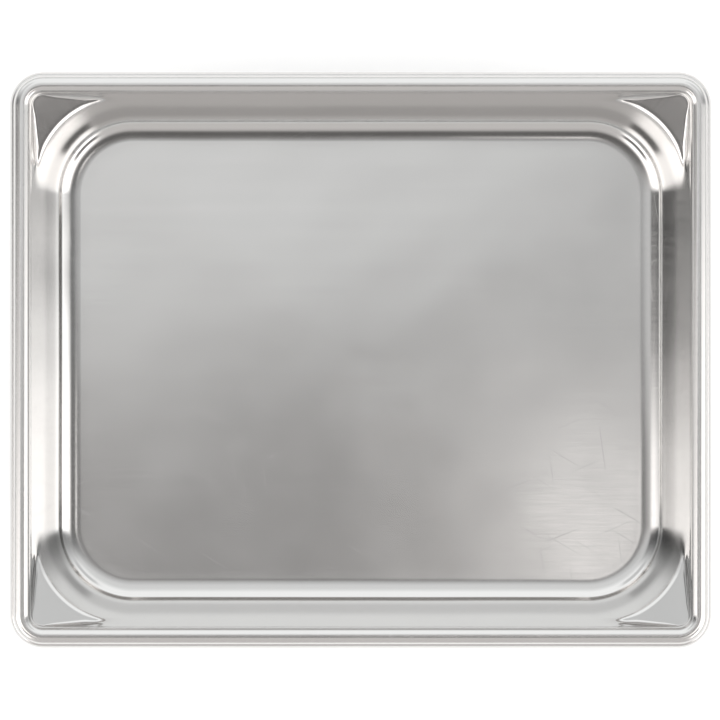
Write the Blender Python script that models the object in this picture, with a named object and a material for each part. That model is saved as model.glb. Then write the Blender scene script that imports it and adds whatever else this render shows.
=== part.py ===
"""A half-size deli food pan, pressed from one sheet of stainless steel.

Run it with blender --background --python part.py, or from Blender's text editor.
Metres, +Z up. The origin is the centre of the flat underside of the bottom, +X runs along the long side.

The upper face of the sheet is built from columns of points that run from the cut edge of the flange's
lip, over the flange, down the neck, across a corner's facet and down the tapered wall to the flat
bottom. A Solidify modifier then gives the sheet its thickness, on the side away from the food.
"""

import math

import bmesh
import bpy

MM = 0.001

# Overall size, over the flange
LENGTH = 324 * MM
WIDTH = 266 * MM
HEIGHT = 65 * MM
SHEET = 0.8 * MM

# Flange. An inset is a distance in from the flange's outer edge, seen from above. Outwards from its
# narrow flat top, a round shoulder falls to a small hollow, and the lip then turns down to its cut edge.
OUTER_CORNER = 15.5 * MM
FLAT_FROM = 5.5 * MM
FLAT_TO = 6.3 * MM
SHOULDER_RADIUS = 4.1 * MM
SHOULDER_TILT = math.radians(55)
HOLLOW_RADIUS = 1.2 * MM
LIP_TILT = math.radians(28)
LIP_DROP = 6.0 * MM

# Neck: the short, nearly upright band under the flange
NECK_INSET = 9.6 * MM
NECK_DROP = 9.0 * MM
WALL_TOP_INSET = 9.7 * MM

# Walls and bottom. The wall's slope is the distance it runs in for each distance it drops. The bend
# between walls and bottom is tight against the wall and opens out towards the flat bottom.
BODY_CORNER = 54.4 * MM
WALL_SLOPE = 0.195
BEND_REACH_UP = 3.0 * MM
BOTTOM_INSET = 29.0 * MM

# Corner facets: a flat triangle between the small corner of the neck and the large corner of the
# body. Its slope is the distance it drops for each distance in from either outer edge.
FACET_INSET = 10.1 * MM
FACET_DROP = 8.7 * MM
FACET_SLOPE = 0.25
# Where a facet is narrower than this it stands steeper, and at its very tip it is lost in the wall
NARROW_FACET = 3.0 * MM
TIP_HALF_HEIGHT = 6.0 * MM

# How far the rounding of a facet's edges reaches to either side. On the upper edge it grows from the
# corner along the side. On the lower edge it reaches further over the facet than down the wall.
UPPER_REACH = 1.0 * MM
UPPER_REACH_GROWTH = 0.06
UPPER_REACH_FROM = 12.0 * MM
LOWER_REACH_FACET = 3.2 * MM
LOWER_REACH_WALL = 1.3 * MM
LARGEST_SHARE = 0.48
LARGEST_NECK_SHARE = 0.9
# How far below the rounding of a facet's lower edge the next points of the wall come
WALL_STEP = 3.0 * MM

# How finely the round stretches are divided
SHOULDER_STEPS = 4
HOLLOW_STEPS = 2
LIP_STEPS = 4
INNER_BEND_STEPS = 4
EDGE_STEPS = 4
BOTTOM_BEND_STEPS = 7
RAY_STEPS = 6
CORNER_STEPS = 6

FLOOR_DROP = HEIGHT - SHEET
CENTRE_X = LENGTH / 2 - BODY_CORNER
CENTRE_Y = WIDTH / 2 - BODY_CORNER


def corner_columns():
    """The columns of the corner at +X and +Y, as (turn, shift), from its +X side round to its +Y side.

    Turn is the way the flange's outer edge faces there. Shift is how far along a straight side the
    column stands from the centre of the body's large corner. It is None on the flange's small corner.
    """
    reach = BODY_CORNER - WALL_TOP_INSET
    widest = math.atan2(BODY_CORNER - OUTER_CORNER, reach)
    shifts = [reach * math.tan(widest * n / RAY_STEPS) for n in range(RAY_STEPS)]
    turns = [math.pi / 2 * n / CORNER_STEPS for n in range(CORNER_STEPS + 1)]
    columns = [(0.0, shift) for shift in shifts]
    columns += [(turn, None) for turn in turns]
    columns += [(math.pi / 2, shift) for shift in reversed(shifts)]
    return columns


def outline_point(turn, shift, inset):
    """Where a column crosses the flange's outline at that inset, seen from above."""
    if shift is None:
        radius = OUTER_CORNER - inset
        x = LENGTH / 2 - OUTER_CORNER + radius * math.cos(turn)
        y = WIDTH / 2 - OUTER_CORNER + radius * math.sin(turn)
        return x, y
    if turn == 0.0:
        return LENGTH / 2 - inset, CENTRE_Y + shift
    return CENTRE_X + shift, WIDTH / 2 - inset


def arc(centre, radius, start, end, steps):
    """Points (across, down) of an arc. The angles are measured from across towards down."""
    points = []
    for n in range(steps + 1):
        angle = start + (end - start) * n / steps
        across = centre[0] + radius * math.cos(angle)
        down = centre[1] + radius * math.sin(angle)
        points.append((across, down))
    return points


def flange_section():
    """The flange as points (inset, drop), from the lip's cut edge to the foot of the inner bend."""
    level = math.pi * 1.5
    shoulder = (FLAT_FROM, SHOULDER_RADIUS)
    both = SHOULDER_RADIUS + HOLLOW_RADIUS
    hollow = (
        FLAT_FROM - both * math.sin(SHOULDER_TILT),
        SHOULDER_RADIUS - both * math.cos(SHOULDER_TILT),
    )
    lip_start = (
        hollow[0] + HOLLOW_RADIUS * math.sin(LIP_TILT),
        hollow[1] + HOLLOW_RADIUS * math.cos(LIP_TILT),
    )
    lip_radius = lip_start[0] / (1 - math.sin(LIP_TILT))
    lip = (lip_radius, lip_start[1] + lip_radius * math.cos(LIP_TILT))
    inner_bend = NECK_INSET - FLAT_TO
    inner = (FLAT_TO, inner_bend)

    section = [(0.0, LIP_DROP)]
    section += arc(lip, lip_radius, math.pi, level - LIP_TILT, LIP_STEPS)
    section += arc(
        hollow,
        HOLLOW_RADIUS,
        level - math.pi - LIP_TILT,
        level - math.pi - SHOULDER_TILT,
        HOLLOW_STEPS,
    )[1:]
    section += arc(shoulder, SHOULDER_RADIUS, level - SHOULDER_TILT, level, SHOULDER_STEPS)[1:]
    section += arc(inner, inner_bend, level, math.pi * 2, INNER_BEND_STEPS)
    return section


def toward(start, end, distance):
    """The point at that distance from start, on the line to end."""
    length = math.dist(start, end)
    return tuple(a + (b - a) * distance / length for a, b in zip(start, end))


def rounded(start, edge, end, steps):
    """Points of the curve that starts at start, ends at end and would meet at edge if sharp."""
    weight = math.dist(start, end) / (math.dist(start, edge) + math.dist(edge, end))
    points = []
    for n in range(steps + 1):
        along = n / steps
        shares = ((1 - along) ** 2, 2 * along * (1 - along) * weight, along**2)
        total = sum(shares)
        point = tuple(
            (a * shares[0] + b * shares[1] + c * shares[2]) / total
            for a, b, c in zip(start, edge, end)
        )
        points.append(point)
    return points


def bottom_section():
    """The bend between wall and bottom as points (inset, drop), from its top down."""
    edge = (WALL_TOP_INSET + (FLOOR_DROP - NECK_DROP) * WALL_SLOPE, FLOOR_DROP)
    top = toward(edge, (WALL_TOP_INSET, NECK_DROP), BEND_REACH_UP)
    return rounded(top, edge, (BOTTOM_INSET, FLOOR_DROP), BOTTOM_BEND_STEPS)


def facet_section(ray, neck_fall, facet_top, facet_fall, upper_reach):
    """The neck, facet and upper wall of one column, as points (distance, drop).

    Distance is measured along the ray, from the bottom of the neck towards the centre of the body's
    corner, which is at the distance ray. The falls are drops for each distance along it, of the wall
    above the facet and of the facet, whose plane is at the drop facet_top where the ray starts.
    """
    corner_fall = 1 / WALL_SLOPE
    corner_top = NECK_DROP + (BODY_CORNER - ray - WALL_TOP_INSET) * corner_fall
    upper = (facet_top - NECK_DROP) / (neck_fall - facet_fall)
    lower = (facet_top - corner_top) / (corner_fall - facet_fall)
    narrow = max(0.0, 1 - (lower - upper) / NARROW_FACET)
    upper -= TIP_HALF_HEIGHT * narrow**2 / neck_fall
    lower += TIP_HALF_HEIGHT * narrow**2 / corner_fall

    neck = (0.0, NECK_DROP)
    upper_edge = (upper, NECK_DROP + upper * neck_fall)
    lower_edge = (lower, corner_top + lower * corner_fall)
    largest = LARGEST_SHARE * math.dist(upper_edge, lower_edge)
    upper_reach = min(upper_reach, largest, LARGEST_NECK_SHARE * math.dist(upper_edge, neck))
    lower_reach = min(LOWER_REACH_FACET, largest)
    below = lower_edge[1] + LOWER_REACH_WALL + WALL_STEP
    wall = ((below - corner_top) / corner_fall, below)

    section = [neck]
    section += rounded(
        toward(upper_edge, neck, upper_reach),
        upper_edge,
        toward(upper_edge, lower_edge, upper_reach),
        EDGE_STEPS,
    )
    section += rounded(
        toward(lower_edge, upper_edge, lower_reach),
        lower_edge,
        toward(lower_edge, wall, min(LOWER_REACH_WALL, lower_reach)),
        EDGE_STEPS,
    )
    section.append(wall)
    return section


def column_points(turn, shift):
    """All points of one column in space, from the lip's cut edge to the edge of the flat bottom."""
    points = []
    for inset, drop in flange_section():
        points.append((*outline_point(turn, shift, inset), HEIGHT - drop))

    neck_x, neck_y = outline_point(turn, shift, WALL_TOP_INSET)
    inset_x = LENGTH / 2 - neck_x
    inset_y = WIDTH / 2 - neck_y
    ray = math.hypot(neck_x - CENTRE_X, neck_y - CENTRE_Y)
    ray_x = (neck_x - CENTRE_X) / ray
    ray_y = (neck_y - CENTRE_Y) / ray
    facing = ray_x * math.cos(turn) + ray_y * math.sin(turn)
    facet_top = FACET_DROP + FACET_SLOPE * (inset_x + inset_y - 2 * FACET_INSET)
    facet_fall = FACET_SLOPE * (ray_x + ray_y)
    along_side = max(0.0, max(inset_x, inset_y) - UPPER_REACH_FROM)
    upper_reach = (UPPER_REACH + UPPER_REACH_GROWTH * along_side) / facing

    section = facet_section(ray, facing / WALL_SLOPE, facet_top, facet_fall, upper_reach)
    for distance, drop in section:
        x = neck_x - ray_x * distance
        y = neck_y - ray_y * distance
        points.append((x, y, HEIGHT - drop))
    for inset, drop in bottom_section():
        radius = BODY_CORNER - inset
        x = CENTRE_X + ray_x * radius
        y = CENTRE_Y + ray_y * radius
        points.append((x, y, HEIGHT - drop))
    return points


def all_columns():
    """Every column of points, anticlockwise round the pan, the corners being alike but mirrored."""
    corner = [column_points(turn, shift) for turn, shift in corner_columns()]
    columns = []
    for flip_x, flip_y in ((1, 1), (-1, 1), (-1, -1), (1, -1)):
        ordered = corner if flip_x == flip_y else reversed(corner)
        for column in ordered:
            columns.append([(x * flip_x, y * flip_y, z) for x, y, z in column])
    return columns


def pressed_sheet():
    """The upper face of the sheet as one mesh, with its faces towards the food."""
    mesh = bmesh.new()
    columns = [[mesh.verts.new(point) for point in column] for column in all_columns()]
    for here, beyond in zip(columns, columns[1:] + columns[:1]):
        for n in range(len(here) - 1):
            mesh.faces.new((here[n], beyond[n], beyond[n + 1], here[n + 1]))
    mesh.faces.new([column[-1] for column in columns])
    return mesh


def steel():
    material = bpy.data.materials.new("stainless_steel")
    material.use_nodes = True
    shader = material.node_tree.nodes["Principled BSDF"]
    shader.inputs["Base Color"].default_value = (0.66, 0.65, 0.63, 1)
    shader.inputs["Metallic"].default_value = 1.0
    shader.inputs["Roughness"].default_value = 0.25
    return material


def make_pan():
    data = bpy.data.meshes.new("pan_body")
    built = pressed_sheet()
    built.to_mesh(data)
    built.free()
    data.shade_smooth()
    data.set_sharp_from_angle(angle=math.radians(40))
    data.materials.append(steel())
    pan = bpy.data.objects.new("pan_body", data)
    bpy.context.scene.collection.objects.link(pan)
    sheet = pan.modifiers.new("sheet", "SOLIDIFY")
    sheet.thickness = SHEET
    sheet.offset = -1
    sheet.use_even_offset = True
    return pan


def main():
    for item in list(bpy.data.objects):
        bpy.data.objects.remove(item)
    make_pan()


main()
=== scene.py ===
"""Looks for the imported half-size deli food pan: one deep-drawn sheet of stainless steel.

The pan is drawn again here as a finely divided sheet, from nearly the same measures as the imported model, with
its soft edges, its slightly uneven walls and its brushed finishes. Metres, +Z up.
"""

import math

import bpy
import numpy as np
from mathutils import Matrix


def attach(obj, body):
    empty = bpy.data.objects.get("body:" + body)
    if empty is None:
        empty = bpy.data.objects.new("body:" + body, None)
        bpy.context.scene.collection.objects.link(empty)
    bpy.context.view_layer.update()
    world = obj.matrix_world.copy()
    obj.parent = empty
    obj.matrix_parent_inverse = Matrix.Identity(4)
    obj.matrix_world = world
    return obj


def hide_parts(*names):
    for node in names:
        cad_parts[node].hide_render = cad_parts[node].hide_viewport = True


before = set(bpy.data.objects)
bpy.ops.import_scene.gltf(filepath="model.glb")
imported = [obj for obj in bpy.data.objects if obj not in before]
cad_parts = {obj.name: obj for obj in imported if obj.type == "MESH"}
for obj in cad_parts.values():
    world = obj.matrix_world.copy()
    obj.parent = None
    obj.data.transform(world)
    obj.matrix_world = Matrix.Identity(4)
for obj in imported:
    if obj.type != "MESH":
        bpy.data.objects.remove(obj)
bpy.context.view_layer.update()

MM = 0.001

# Overall size, over the flange
LENGTH = 324 * MM
WIDTH = 266 * MM
HEIGHT = 65 * MM
SHEET = 0.8 * MM
FLOOR_BOW = 0.35 * MM

# Flange. An inset is a distance in from the flange's outer edge, seen from above.
OUTER_CORNER = 15.5 * MM
LIP_DROP = 6.0 * MM
FLAT_FROM = 5.5 * MM
FLAT_TO = 6.3 * MM
SHOULDER_RADIUS = 4.1 * MM
SHOULDER_TILT = math.radians(55)
HOLLOW_RADIUS = 1.2 * MM
LIP_TILT = math.radians(28)

# Neck, walls and bottom
NECK_INSET = 9.6 * MM
NECK_DROP = 9.0 * MM
WALL_TOP_INSET = 9.7 * MM
BODY_CORNER = 54.4 * MM
WALL_SLOPE = 0.195
BOTTOM_INSET = 29.0 * MM
BEND_REACH_UP = 3.0 * MM
FLOOR_DROP = HEIGHT - SHEET

# Corner facets
FACET_INSET = 10.1 * MM
FACET_DROP = 8.67 * MM
FACET_SLOPE = 0.25
NARROW_FACET = 3.0 * MM
TIP_HALF_HEIGHT = 6.0 * MM
UPPER_REACH = 1.0 * MM
UPPER_REACH_GROWTH = 0.06
UPPER_REACH_FROM = 12.0 * MM
LOWER_REACH_FACET = 3.2 * MM
LOWER_REACH_WALL = 1.3 * MM
LARGEST_SHARE = 0.48
LARGEST_NECK_SHARE = 0.9

CENTRE_X = LENGTH / 2 - BODY_CORNER
CENTRE_Y = WIDTH / 2 - BODY_CORNER

# How finely the sheet is divided
RAY_STEPS = 30
CORNER_STEPS = 26
SIDE_STEP = 5.0 * MM
BEND_STEPS = 14
EDGE_STEPS = 14
FLAT_STEPS = 4
WALL_STEPS = 10
FLOOR_RINGS = 22

# Unevenness of the drawn sheet: the length and height of its waves, and how many of each. It is weakest at
# the flange, and reaches its full height below UNEVEN_BELOW.
WAVES = ((90 * MM, 0.05 * MM, 5), (38 * MM, 0.012 * MM, 8), (17 * MM, 0.0025 * MM, 10))
WAVE_SPREAD = (0.8, 1.3)
WAVE_SEED = 7
UNEVEN_BELOW = 10 * MM
UNEVEN_LEAST = 0.15


def corner_columns():
    """Turn and shift of each column round one quarter of the pan.

    A column on a straight side has a shift along that side, and one round the flange's corner has a turn.
    """
    reach = BODY_CORNER - WALL_TOP_INSET
    widest = math.atan2(BODY_CORNER - OUTER_CORNER, reach)
    shifts = [reach * math.tan(widest * n / RAY_STEPS) for n in range(RAY_STEPS)]
    turns = [math.pi / 2 * n / CORNER_STEPS for n in range(CORNER_STEPS + 1)]
    side_y = int(CENTRE_Y / SIDE_STEP)
    side_x = int(CENTRE_X / SIDE_STEP)
    columns = [(0.0, -CENTRE_Y * (1 - n / side_y)) for n in range(side_y)]
    columns += [(0.0, shift) for shift in shifts]
    columns += [(turn, None) for turn in turns]
    columns += [(math.pi / 2, shift) for shift in reversed(shifts)]
    columns += [(math.pi / 2, -CENTRE_X * (n + 1) / side_x) for n in range(side_x)]
    return columns


def outline_point(turn, shift, inset):
    """Where a column meets the flange's outline, moved in by the inset."""
    if shift is None:
        radius = OUTER_CORNER - inset
        x = LENGTH / 2 - OUTER_CORNER + radius * math.cos(turn)
        y = WIDTH / 2 - OUTER_CORNER + radius * math.sin(turn)
        return x, y
    if turn == 0.0:
        return LENGTH / 2 - inset, CENTRE_Y + shift
    return CENTRE_X + shift, WIDTH / 2 - inset


def arc(centre, radius, start, end, steps):
    """Points round an arc, both ends included."""
    points = []
    for n in range(steps + 1):
        angle = start + (end - start) * n / steps
        points.append((centre[0] + radius * math.cos(angle), centre[1] + radius * math.sin(angle)))
    return points


def line(start, end, steps):
    """Points from start up to, and without, end."""
    return [tuple(a + (b - a) * n / steps for a, b in zip(start, end)) for n in range(steps)]


def flange_section():
    """From the lip's cut edge, over the shoulder and the flat, down to the foot of the inner bend."""
    inner_radius = NECK_INSET - FLAT_TO
    shoulder_centre = (FLAT_FROM, SHOULDER_RADIUS)
    shoulder_end = (
        FLAT_FROM - SHOULDER_RADIUS * math.sin(SHOULDER_TILT),
        SHOULDER_RADIUS * (1 - math.cos(SHOULDER_TILT)),
    )
    hollow_centre = (
        shoulder_end[0] - HOLLOW_RADIUS * math.sin(SHOULDER_TILT),
        shoulder_end[1] - HOLLOW_RADIUS * math.cos(SHOULDER_TILT),
    )
    lip_start = (
        hollow_centre[0] + HOLLOW_RADIUS * math.sin(LIP_TILT),
        hollow_centre[1] + HOLLOW_RADIUS * math.cos(LIP_TILT),
    )
    lip_radius = lip_start[0] / (1 - math.sin(LIP_TILT))
    lip_centre = (lip_radius, lip_start[1] + lip_radius * math.cos(LIP_TILT))
    quarter = math.pi / 2
    section = line((0.0, LIP_DROP), (0.0, lip_centre[1]), FLAT_STEPS)
    section += arc(lip_centre, lip_radius, math.pi, 3 * quarter - LIP_TILT, BEND_STEPS)
    hollow_ends = (quarter - LIP_TILT, quarter - SHOULDER_TILT)
    section += arc(hollow_centre, HOLLOW_RADIUS, *hollow_ends, EDGE_STEPS // 2)[1:]
    shoulder_ends = (3 * quarter - SHOULDER_TILT, 3 * quarter)
    section += arc(shoulder_centre, SHOULDER_RADIUS, *shoulder_ends, BEND_STEPS)[1:]
    section += arc((FLAT_TO, inner_radius), inner_radius, 3 * quarter, 4 * quarter, BEND_STEPS)
    return section


def bottom_section():
    """The bend between wall and bottom, from its top down. It is tightest near the wall."""
    edge = (WALL_TOP_INSET + (FLOOR_DROP - NECK_DROP) * WALL_SLOPE, FLOOR_DROP)
    top = toward(edge, (WALL_TOP_INSET, NECK_DROP), BEND_REACH_UP)
    return rounded(top, edge, (BOTTOM_INSET, FLOOR_DROP))


def toward(start, end, distance):
    """The point at a distance from start on the way to end."""
    length = math.dist(start, end)
    return tuple(a + (b - a) * distance / length for a, b in zip(start, end))


def rounded(start, edge, end):
    """A conic from start to end that would meet at edge if it were sharp."""
    chord = math.dist(start, end)
    weight = chord / (math.dist(start, edge) + math.dist(edge, end))
    points = []
    for n in range(EDGE_STEPS + 1):
        along = n / EDGE_STEPS
        shares = ((1 - along) ** 2, 2 * along * (1 - along) * weight, along**2)
        total = sum(shares)
        points.append(tuple(
            (a * shares[0] + b * shares[1] + c * shares[2]) / total
            for a, b, c in zip(start, edge, end)
        ))
    return points


def facet_section(ray, neck_fall, facet_top, facet_fall, upper_reach, last):
    """From the neck's foot, over the facet where there is one, down the wall to the bend's top.

    Distances run inwards along the column's ray, and drops run down from the pan's top.
    """
    corner_fall = 1 / WALL_SLOPE
    corner_top = NECK_DROP + (BODY_CORNER - ray - WALL_TOP_INSET) * corner_fall
    upper = (facet_top - NECK_DROP) / (neck_fall - facet_fall)
    lower = (facet_top - corner_top) / (corner_fall - facet_fall)
    narrow = max(0.0, 1 - (lower - upper) / NARROW_FACET)
    upper -= TIP_HALF_HEIGHT * narrow**2 / neck_fall
    lower += TIP_HALF_HEIGHT * narrow**2 / corner_fall

    neck = (0.0, NECK_DROP)
    upper_edge = (upper, NECK_DROP + upper * neck_fall)
    lower_edge = (lower, corner_top + lower * corner_fall)
    span = math.dist(upper_edge, lower_edge)
    upper_room = min(LARGEST_SHARE * span, LARGEST_NECK_SHARE * math.dist(upper_edge, neck))
    upper_reach = min(upper_reach, upper_room)
    lower_reach = min(LOWER_REACH_FACET, LARGEST_SHARE * span)
    below = ((last - corner_top) / corner_fall, last)
    first = rounded(
        toward(upper_edge, neck, upper_reach), upper_edge, toward(upper_edge, lower_edge, upper_reach)
    )
    second = rounded(
        toward(lower_edge, upper_edge, lower_reach),
        lower_edge,
        toward(lower_edge, below, min(LOWER_REACH_WALL, lower_reach)),
    )
    section = line(neck, first[0], FLAT_STEPS)
    section += first
    section += line(first[-1], second[0], FLAT_STEPS * 2)[1:]
    section += second
    section += line(second[-1], below, WALL_STEPS)[1:]
    return section


def column_points(turn, shift):
    """The points of one column, from the lip's cut edge to the edge of the flat bottom."""
    points = []
    for inset, drop in flange_section():
        points.append((*outline_point(turn, shift, inset), HEIGHT - drop))

    side_shift = None if shift is None else max(shift, 0.0)
    neck_x, neck_y = outline_point(turn, side_shift, WALL_TOP_INSET)
    inset_x = LENGTH / 2 - neck_x
    inset_y = WIDTH / 2 - neck_y
    ray = math.hypot(neck_x - CENTRE_X, neck_y - CENTRE_Y)
    ray_x = (neck_x - CENTRE_X) / ray
    ray_y = (neck_y - CENTRE_Y) / ray
    facing = ray_x * math.cos(turn) + ray_y * math.sin(turn)
    facet_top = FACET_DROP + FACET_SLOPE * (inset_x + inset_y - 2 * FACET_INSET)
    facet_fall = FACET_SLOPE * (ray_x + ray_y)
    along_side = max(0.0, max(inset_x, inset_y) - UPPER_REACH_FROM)
    upper_reach = (UPPER_REACH + UPPER_REACH_GROWTH * along_side) / facing

    bottom = bottom_section()
    off_x, off_y = outline_point(turn, shift, WALL_TOP_INSET)
    off_x -= neck_x
    off_y -= neck_y
    bend_top = bottom[0][1]
    section = facet_section(ray, facing / WALL_SLOPE, facet_top, facet_fall, upper_reach, bend_top)
    for distance, drop in section:
        x = neck_x + off_x - ray_x * distance
        y = neck_y + off_y - ray_y * distance
        points.append((x, y, HEIGHT - drop))
    for inset, drop in bottom:
        radius = BODY_CORNER - inset
        x = CENTRE_X + off_x + ray_x * radius
        y = CENTRE_Y + off_y + ray_y * radius
        points.append((x, y, HEIGHT - drop))
    return points


def all_columns():
    """The columns of all four quarters, in order round the pan."""
    corner = [column_points(turn, shift) for turn, shift in corner_columns()]
    columns = []
    for flip_x, flip_y in ((1, 1), (-1, 1), (-1, -1), (1, -1)):
        ordered = corner if flip_x == flip_y else corner[::-1]
        mirrored = [[(x * flip_x, y * flip_y, z) for x, y, z in column] for column in ordered]
        columns += mirrored[:-1]
    return np.array(columns)


def sheet_points():
    """Every point of the food side, as columns by rows, without the middle of the bottom."""
    columns = all_columns()
    edge = columns[:, -1]
    rings = []
    for n in range(1, FLOOR_RINGS + 1):
        share = 1 - n / (FLOOR_RINGS + 1)
        ring = edge.copy()
        ring[:, :2] *= share
        ring[:, 2] += FLOOR_BOW * (1 - share**2) ** 2
        rings.append(ring)
    return np.concatenate([columns, np.stack(rings, axis=1)], axis=1)


def uneven(points):
    """Slight unevenness of drawn sheet, as an offset along the sheet's normal."""
    x, y, z = points[..., 0], points[..., 1], points[..., 2]
    rng = np.random.default_rng(WAVE_SEED)
    total = np.zeros(x.shape)
    for size, depth, count in WAVES:
        for _ in range(count):
            direction = rng.normal(size=3)
            direction /= np.linalg.norm(direction)
            phase = rng.uniform(0, 2 * math.pi)
            wave = 2 * math.pi / (size * rng.uniform(*WAVE_SPREAD))
            along = x * direction[0] + y * direction[1] + z * direction[2]
            total += depth / count**0.5 * np.sin(wave * along + phase)
    return total


def vertex_normals(points):
    """Unit normals of a closed ring of columns, facing the food side."""
    around = np.roll(points, -1, axis=0) - np.roll(points, 1, axis=0)
    down = np.empty_like(points)
    down[:, 1:-1] = points[:, 2:] - points[:, :-2]
    down[:, 0] = points[:, 1] - points[:, 0]
    down[:, -1] = points[:, -1] - points[:, -2]
    normals = np.cross(around, down)
    length = np.linalg.norm(normals, axis=-1, keepdims=True)
    return normals / np.maximum(length, 1e-12)


def build_pan(material):
    """The pan as one mesh, with the places that its material needs stored as attributes."""
    points = sheet_points()
    normals = vertex_normals(points)
    share = np.clip((HEIGHT - points[..., 2]) / UNEVEN_BELOW, UNEVEN_LEAST, 1)
    steps = np.linalg.norm(np.diff(points, axis=1), axis=-1)
    down = np.concatenate([np.zeros((len(points), 1)), np.cumsum(steps, axis=1)], axis=1)
    heads = np.repeat(points[:, :1], points.shape[1], axis=1)
    points = points + normals * (uneven(points) * share)[..., None]
    columns, rows = points.shape[:2]
    vertices = points.reshape(-1, 3)
    middle = np.array([[0, 0, points[0, -1, 2]]])
    vertices = np.concatenate([vertices, middle])
    faces = []
    for c in range(columns):
        beyond = (c + 1) % columns
        for r in range(rows - 1):
            faces.append((c * rows + r, beyond * rows + r, beyond * rows + r + 1, c * rows + r + 1))
        faces.append((c * rows + rows - 1, beyond * rows + rows - 1, columns * rows))
    mesh = bpy.data.meshes.new("pan")
    mesh.from_pydata(vertices.tolist(), [], faces)
    mesh.validate()
    # Nought above the bottom's bend, one where it meets the flat bottom, and more towards the middle
    across = np.zeros(rows)
    across[-FLOOR_RINGS - EDGE_STEPS - 1:-FLOOR_RINGS] = np.linspace(0, 1, EDGE_STEPS + 1)
    across[-FLOOR_RINGS:] = 1 + np.arange(1, FLOOR_RINGS + 1)
    across = np.append(np.tile(across, columns), FLOOR_RINGS + 1)
    for name, values in (("down", np.append(down.reshape(-1), down.max())), ("across", across)):
        attribute = mesh.attributes.new(name, "FLOAT", "POINT")
        attribute.data.foreach_set("value", values.astype(np.float32))
    head = mesh.attributes.new("head", "FLOAT_VECTOR", "POINT")
    head_values = np.concatenate([heads.reshape(-1, 3), middle]).astype(np.float32)
    head.data.foreach_set("vector", head_values.reshape(-1))
    mesh.shade_smooth()
    mesh.materials.append(material)
    pan = bpy.data.objects.new("pan", mesh)
    bpy.context.scene.collection.objects.link(pan)
    sheet = pan.modifiers.new("sheet", "SOLIDIFY")
    sheet.thickness = SHEET
    sheet.offset = -1
    sheet.use_even_offset = True
    return pan


class Nodes:
    """Short forms for building a node tree."""

    def __init__(self, tree):
        self.tree = tree

    def add(self, kind, inputs=None, **settings):
        node = self.tree.nodes.new(kind)
        for key, value in settings.items():
            setattr(node, key, value)
        for key, value in (inputs or {}).items():
            if isinstance(value, bpy.types.NodeSocket):
                self.tree.links.new(value, node.inputs[key])
            else:
                node.inputs[key].default_value = value
        return node

    def math(self, operation, first, second=0.0):
        return self.add("ShaderNodeMath", {0: first, 1: second}, operation=operation).outputs[0]

    def scaled(self, value, factor, base=0.0):
        """The base plus the factor times the value."""
        return self.math("ADD", base, self.math("MULTIPLY", value, factor))

    def fit(self, value, low, high, to_low=0.0, to_high=1.0):
        """Goes smoothly from to_low to to_high as the value goes from low to high."""
        inputs = {
            "Value": value, "From Min": low, "From Max": high, "To Min": to_low, "To Max": to_high,
        }
        settings = {"interpolation_type": "SMOOTHSTEP", "clamp": True}
        return self.add("ShaderNodeMapRange", inputs, **settings).outputs[0]

    def window(self, value, rise, fall):
        """One between the two ranges, falling smoothly to nought outside them."""
        return self.math("MULTIPLY", self.fit(value, *rise), self.fit(value, *fall))

    def noise(self, where, scale, detail, roughness=0.5):
        inputs = {"Vector": where, "Scale": scale, "Detail": detail, "Roughness": roughness}
        return self.add("ShaderNodeTexNoise", inputs).outputs[0]

    def mix(self, share, first, second):
        inputs = {0: share, 2: first, 3: second}
        return self.add("ShaderNodeMix", inputs, data_type="FLOAT").outputs[0]

    def mix_colour(self, share, first, second):
        inputs = {"Factor": share, 6: (*first, 1.0), 7: (*second, 1.0)}
        return self.add("ShaderNodeMix", inputs, data_type="RGBA").outputs[2]

    def split(self, vector):
        return self.add("ShaderNodeSeparateXYZ", {0: vector}).outputs

    def join(self, x, y, z):
        return self.add("ShaderNodeCombineXYZ", {0: x, 1: y, 2: z}).outputs[0]


# Where each finish begins, and where the painted shade in the bend lies: "across" counts from the bend onto the
# bottom, and the flange is by height
FLOOR_BEGINS = (0.9, 1.3)
FLANGE_BEGINS = (0.054, 0.058)
BEND_SHADE_BEGINS = (0.5, 0.68)
BEND_SHADE_ENDS = (1.12, 0.96)

# Draw lines run down the walls, brush lines along the bottom and polish lines along the flange. For each, how
# far they are drawn out, then the noise's scale, detail and roughness.
DRAW_STRETCH = 0.02
DRAW_LINES = (900.0, 3.0, 0.6)
BRUSH_STRETCH = 0.03
BRUSH_LINES = (1400.0, 4.0, 0.65)
BRUSH_BANDS = (130.0, 3.0, 0.6)
POLISH_STRETCH = 0.02
POLISH_LINES = (1800.0, 3.0, 0.6)
BLOTCHES = (22.0, 4.0, 0.55)

# Scratches: the turns about Z, the tilt, the size of each, and how rare they are
SCRATCH_TURNS = (0.4, 1.7, 2.6)
SCRATCH_TILT = 0.2
SCRATCH_SIZE = (0.03, 0.0009, 0.02)
SCRATCH_RARITY = (0.76, 0.82)

# Roughness of each finish, and what its lines add
WALL_ROUGH = 0.10
FLOOR_ROUGH = 0.12
FLANGE_ROUGH = 0.17
DRAW_ROUGH = 0.05
BRUSH_ROUGH = 0.05
POLISH_ROUGH = 0.08
BLOTCH_ROUGH = 0.05
SCRATCH_ROUGH = 0.03

# Height of the lines, as shares of the brush lines' height
DRAW_HEIGHT = 0.35
POLISH_HEIGHT = 0.3
SCRATCH_DEPTH = 0.12
BUMP_STRENGTH = 0.08
BUMP_DISTANCE = 0.03 * MM

# Tone of the steel, with the brush bands on the bottom and a painted shade low in the bend
TONE = 0.96
BAND_TONE = 0.06
BEND_SHADE = 0.2
STEEL_DARK = (0.70, 0.697, 0.69)
STEEL_LIGHT = (0.735, 0.73, 0.722)


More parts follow.
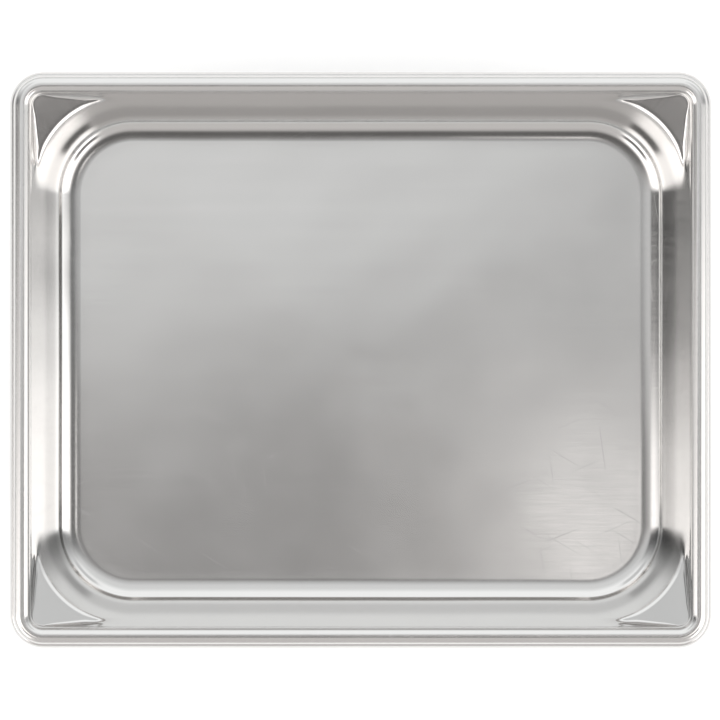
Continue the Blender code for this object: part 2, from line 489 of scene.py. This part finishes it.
def steel():
    """Stainless steel, with its own fine lines on the walls, the bottom and the flange."""
    material = bpy.data.materials.new("stainless_steel")
    material.use_nodes = True
    shader = material.node_tree.nodes["Principled BSDF"]
    shader.inputs["Metallic"].default_value = 1.0
    nodes = Nodes(material.node_tree)
    place = nodes.add("ShaderNodeTexCoord").outputs["Object"]
    x, y, z = nodes.split(place)
    head = nodes.add("ShaderNodeAttribute", attribute_name="head").outputs["Vector"]
    head_x, head_y, _ = nodes.split(head)
    down = nodes.add("ShaderNodeAttribute", attribute_name="down").outputs["Fac"]
    across = nodes.add("ShaderNodeAttribute", attribute_name="across").outputs["Fac"]
    on_floor = nodes.fit(across, *FLOOR_BEGINS)
    # Mask of the painted shade low in the bend
    in_bend = nodes.window(across, BEND_SHADE_BEGINS, BEND_SHADE_ENDS)
    on_flange = nodes.fit(z, *FLANGE_BEGINS)

    wall_place = nodes.join(head_x, head_y, nodes.math("MULTIPLY", down, DRAW_STRETCH))
    draw_lines = nodes.noise(wall_place, *DRAW_LINES)
    floor_place = nodes.join(nodes.math("MULTIPLY", x, BRUSH_STRETCH), y, 0.0)
    brush_lines = nodes.noise(floor_place, *BRUSH_LINES)
    brush_bands = nodes.noise(floor_place, *BRUSH_BANDS)
    flange_x = nodes.math("MULTIPLY", head_x, POLISH_STRETCH)
    flange_y = nodes.math("MULTIPLY", head_y, POLISH_STRETCH)
    polish_lines = nodes.noise(nodes.join(flange_x, flange_y, down), *POLISH_LINES)
    blotches = nodes.noise(place, *BLOTCHES)

    scratches = 0.0
    for turn in SCRATCH_TURNS:
        inputs = {"Vector": place, "Rotation": (0.0, SCRATCH_TILT, turn), "Scale": SCRATCH_SIZE}
        laid = nodes.add("ShaderNodeMapping", inputs, vector_type="TEXTURE").outputs[0]
        marks = nodes.fit(nodes.noise(laid, 1.0, 0.0), *SCRATCH_RARITY)
        scratches = nodes.math("ADD", marks, scratches)

    wall_rough = nodes.scaled(draw_lines, DRAW_ROUGH, WALL_ROUGH)
    floor_rough = nodes.scaled(brush_lines, BRUSH_ROUGH, FLOOR_ROUGH)
    flange_rough = nodes.scaled(polish_lines, POLISH_ROUGH, FLANGE_ROUGH)
    rough = nodes.mix(on_floor, wall_rough, floor_rough)
    rough = nodes.mix(on_flange, rough, flange_rough)
    rough = nodes.scaled(nodes.math("SUBTRACT", blotches, 0.5), BLOTCH_ROUGH, rough)
    rough = nodes.scaled(scratches, SCRATCH_ROUGH, rough)
    material.node_tree.links.new(rough, shader.inputs["Roughness"])

    lines = nodes.mix(on_floor, nodes.math("MULTIPLY", draw_lines, DRAW_HEIGHT), brush_lines)
    lines = nodes.mix(on_flange, lines, nodes.math("MULTIPLY", polish_lines, POLISH_HEIGHT))
    lines = nodes.scaled(scratches, -SCRATCH_DEPTH, lines)
    inputs = {"Strength": BUMP_STRENGTH, "Distance": BUMP_DISTANCE, "Height": lines}
    bump = nodes.add("ShaderNodeBump", inputs)
    material.node_tree.links.new(bump.outputs[0], shader.inputs["Normal"])

    tone = nodes.scaled(brush_bands, nodes.math("MULTIPLY", on_floor, BAND_TONE), TONE)
    # Painted shade: the steel's colour is made darker low in the bend
    tone = nodes.scaled(in_bend, -BEND_SHADE, tone)
    colour = nodes.mix_colour(blotches, STEEL_DARK, STEEL_LIGHT)
    toned = nodes.add("ShaderNodeVectorMath", {0: colour, "Scale": tone}, operation="SCALE")
    material.node_tree.links.new(toned.outputs[0], shader.inputs["Base Color"])
    return material


# A pale seamless floor just under the pan. Its faint glow keeps it white all round.
STAGE_HALF = 60.0
STAGE_UNDER = 0.3 * MM
STAGE_COLOUR = (0.9, 0.9, 0.9, 1)
STAGE_ROUGH = 0.9
STAGE_GLOW = 0.30


def floor_material():
    material = bpy.data.materials.new("floor")
    material.use_nodes = True
    shader = material.node_tree.nodes["Principled BSDF"]
    shader.inputs["Base Color"].default_value = STAGE_COLOUR
    shader.inputs["Roughness"].default_value = STAGE_ROUGH
    shader.inputs["Emission Color"].default_value = (1, 1, 1, 1)
    shader.inputs["Emission Strength"].default_value = STAGE_GLOW
    return material


def add_floor():
    signs = ((-1, -1), (1, -1), (1, 1), (-1, 1))
    corners = [(x * STAGE_HALF, y * STAGE_HALF, -STAGE_UNDER) for x, y in signs]
    mesh = bpy.data.meshes.new("floor")
    mesh.from_pydata(corners, [], [(0, 1, 2, 3)])
    mesh.materials.append(floor_material())
    floor = bpy.data.objects.new("floor", mesh)
    bpy.context.scene.collection.objects.link(floor)


# The studio, as brightness by direction. Two large softboxes stand at the front left and front right, with a
# dark gap behind each of them, and a bright wall closes the rear. "Rearward" is how far to the rear a
# direction points for each unit sideways.
SOFTBOX = 2.3
FRONT = 0.72
REAR = 1.25
HORIZON = 0.7
FRONT_BEGINS = (-1.2, -2.2)
REAR_BEGINS = (0.1, 0.9)
HORIZON_BEGINS = (0.34, 0.18)

# The dark gap behind each softbox, and where each softbox ends, on the left and on the right
LEFT_TO_RIGHT = (-0.1, 0.1)
GAP = (0.08, 0.32)
SOFTBOX_EDGE = (-0.035, 0.03)
SOFTBOX_ENDS = (-0.04, 0.045)
LEAST_SIDEWAYS = 0.001

# High up: a dark gap between each softbox and the front, which the rear facets face, and a greyer patch at
# each rear corner, which the front facets face
GAP_FRONT = 0.2
GAP_FRONT_RANGE = ((-0.5, -0.65), (-2.0, -1.6))
REAR_CORNER = 0.75
REAR_CORNER_RANGE = ((0.45, 0.7), (2.0, 1.6))
HIGH_UP = ((0.62, 0.70), (0.88, 0.84))

# Overhead it is brighter to the rear and the left, with a small soft lamp to the front right
CEILING_BEGINS = (0.93, 0.975)
CEILING_LOW = 0.26
CEILING_HIGH = 0.93
CEILING_SLANT = 0.35
CEILING_RANGE = (-0.035, 0.06)
CEILING_FRONT = 0.18
CEILING_FRONT_BEGINS = (-0.065, -0.15)
CEILING_REAR = 1.15
CEILING_REAR_BEGINS = (0.07, 0.15)
LAMP = 3.2
LAMP_X = 0.062
LAMP_Y = -0.046
LAMP_RADIUS = 0.042

# Slightly warm light from the front, slightly cool from the rear
TINT_RANGE = (-0.06, 0.05)
WARM = (1.0, 0.965, 0.945)
COOL = (0.99, 0.997, 1.0)


def ring_light(nodes, x, y, z):
    """Brightness round the pan, below the ceiling."""
    sideways = nodes.math("MAXIMUM", nodes.math("ABSOLUTE", x), LEAST_SIDEWAYS)
    rearward = nodes.math("DIVIDE", y, sideways)
    gap = nodes.fit(x, *LEFT_TO_RIGHT, *GAP)
    edge = nodes.fit(x, *LEFT_TO_RIGHT, *SOFTBOX_EDGE)
    from_edge = nodes.math("SUBTRACT", rearward, edge)
    ring = nodes.mix(nodes.fit(from_edge, *SOFTBOX_ENDS), SOFTBOX, gap)
    ring = nodes.mix(nodes.fit(rearward, *REAR_BEGINS), ring, REAR)
    ring = nodes.mix(nodes.fit(rearward, *FRONT_BEGINS), ring, FRONT)
    high_up = nodes.window(z, *HIGH_UP)
    in_gap = nodes.math("MULTIPLY", nodes.window(rearward, *GAP_FRONT_RANGE), high_up)
    ring = nodes.mix(in_gap, ring, GAP_FRONT)
    in_corner = nodes.math("MULTIPLY", nodes.window(rearward, *REAR_CORNER_RANGE), high_up)
    ring = nodes.mix(in_corner, ring, REAR_CORNER)
    return nodes.mix(nodes.fit(z, *HORIZON_BEGINS), ring, HORIZON)


def ceiling_light(nodes, x, y):
    """Brightness overhead."""
    slant = nodes.math("SUBTRACT", y, nodes.math("MULTIPLY", x, CEILING_SLANT))
    ceiling = nodes.fit(slant, *CEILING_RANGE, CEILING_LOW, CEILING_HIGH)
    ceiling = nodes.mix(nodes.fit(y, *CEILING_FRONT_BEGINS), ceiling, CEILING_FRONT)
    ceiling = nodes.mix(nodes.fit(y, *CEILING_REAR_BEGINS), ceiling, CEILING_REAR)
    away_x = nodes.math("POWER", nodes.math("SUBTRACT", x, LAMP_X), 2.0)
    away_y = nodes.math("POWER", nodes.math("SUBTRACT", y, LAMP_Y), 2.0)
    away = nodes.math("SQRT", nodes.math("ADD", away_x, away_y))
    return nodes.scaled(nodes.fit(away, LAMP_RADIUS, 0.0), LAMP, ceiling)


def add_light():
    world = bpy.data.worlds.new("studio")
    bpy.context.scene.world = world
    world.use_nodes = True
    nodes = Nodes(world.node_tree)
    background = world.node_tree.nodes["Background"]
    x, y, z = nodes.split(nodes.add("ShaderNodeTexCoord").outputs["Generated"])
    ring = ring_light(nodes, x, y, z)
    ceiling = ceiling_light(nodes, x, y)
    strength = nodes.mix(nodes.fit(z, *CEILING_BEGINS), ring, ceiling)
    tint = nodes.mix_colour(nodes.fit(y, *TINT_RANGE), WARM, COOL)
    world.node_tree.links.new(strength, background.inputs["Strength"])
    world.node_tree.links.new(tint, background.inputs["Color"])


# The camera looks straight down
CAMERA_ABOVE = 2.2
CAMERA_X = -0.28 * MM
SENSOR_WIDTH = 36.0
FOCAL_LENGTH = 238.7


def add_camera():
    data = bpy.data.cameras.new("camera")
    data.sensor_width = SENSOR_WIDTH
    data.lens = FOCAL_LENGTH
    camera = bpy.data.objects.new("camera", data)
    camera.location = (CAMERA_X, 0.0, HEIGHT + CAMERA_ABOVE)
    bpy.context.scene.collection.objects.link(camera)
    bpy.context.scene.camera = camera


add_camera()
add_light()
add_floor()
pan = build_pan(steel())
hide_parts("pan_body")
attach(pan, "root")
bpy.context.scene.view_settings.view_transform = "Standard"
